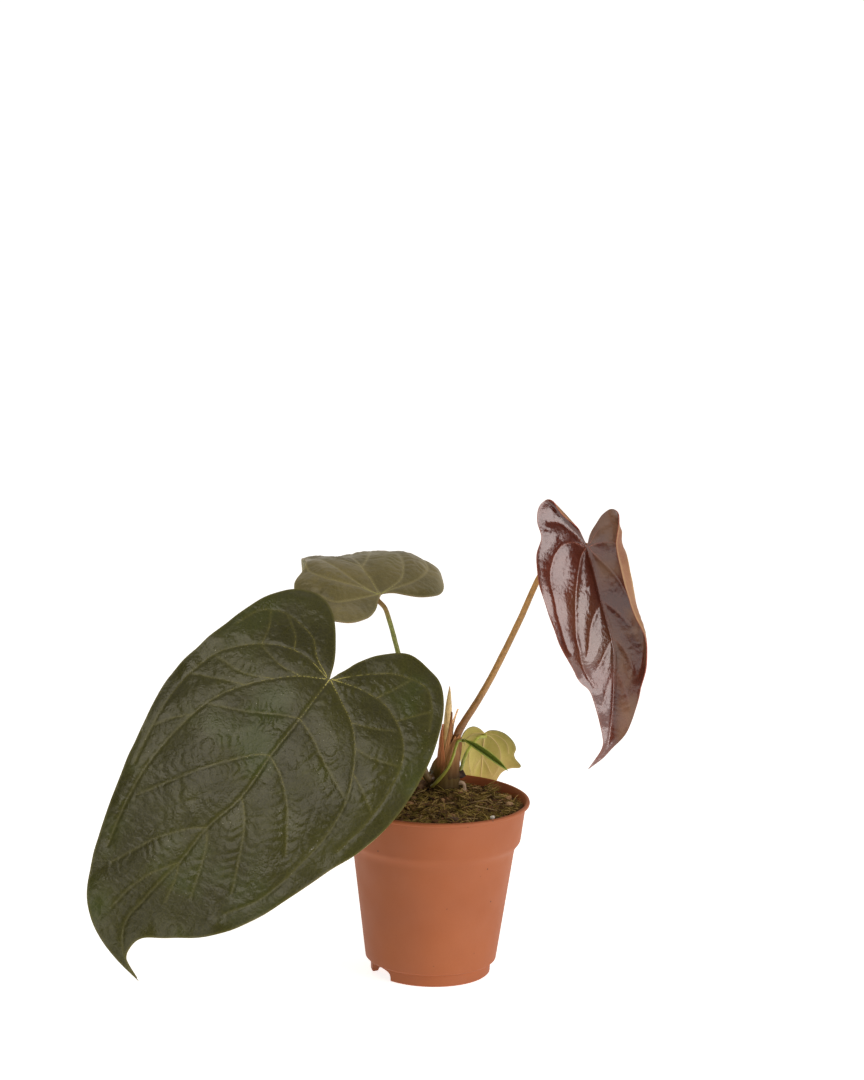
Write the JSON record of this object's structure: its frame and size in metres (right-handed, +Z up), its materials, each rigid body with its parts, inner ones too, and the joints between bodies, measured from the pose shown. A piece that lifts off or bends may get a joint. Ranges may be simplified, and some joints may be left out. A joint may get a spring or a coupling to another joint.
{
  "type": "potted anthurium",
  "caption": "Young foliage anthurium with heart-shaped leaves, standing in a round plastic nursery pot filled with mossy growing medium.",
  "frame": {"origin": "centre of the pot's underside, in the plane that it stands on", "axes": "+Z up along the pot's axis; the side with the large leaf hanging to the left faces -Y; +X to the right of that view"},
  "size_m": [0.3378, 0.2583, 0.3075],
  "materials": {
    "pot_plastic": "terracotta-coloured injection-moulded plastic, satin",
    "growing_medium": "dark moist peat and bark",
    "moss": "living moss with straw and peat crumbs",
    "perlite": "white porous grain",
    "bark": "rough dry bark",
    "stem": "rough olive-brown living stem",
    "dark_leaf": "dark olive leaf, satin, pale veins",
    "grey_leaf": "grey-green leaf, nearly matte",
    "red_leaf": "young red-brown leaf, glossy",
    "pale_leaf": "young yellow-green leaf, thin",
    "juvenile_leaf": "small dark green leaf",
    "green_stalk": "smooth yellow-green leaf stalk",
    "orange_stalk": "smooth orange-brown leaf stalk",
    "shoot": "pale straw-coloured rolled shoot",
    "dry_sheath": "dry papery sheath",
    "root": "rough aerial root",
    "cut_stub": "dark dry cut stalk end"
  },
  "bodies": {
    "root": {"pot": "pot_plastic", "growing_medium": "growing_medium", "moss_layer": "moss", "perlite_grain": "perlite", "bark_chip_right": "bark", "bark_chip_front": "bark", "bark_chip_left": "bark", "stem": "stem", "new_shoot": "shoot", "left_sheath": "dry_sheath", "front_sheath": "dry_sheath", "rear_sheath": "dry_sheath", "left_root": "root", "right_root": "root", "stalk_stub": "cut_stub", "large_leaf_blade": "dark_leaf", "large_leaf_stalk": "green_stalk", "upper_leaf_blade": "grey_leaf", "upper_leaf_stalk": "green_stalk", "red_leaf_blade": "red_leaf", "red_leaf_stalk": "orange_stalk", "small_leaf_blade": "pale_leaf", "small_leaf_stalk": "green_stalk", "juvenile_leaf_blade": "juvenile_leaf", "juvenile_leaf_stalk": "green_stalk"}
  },
  "joints": []
}
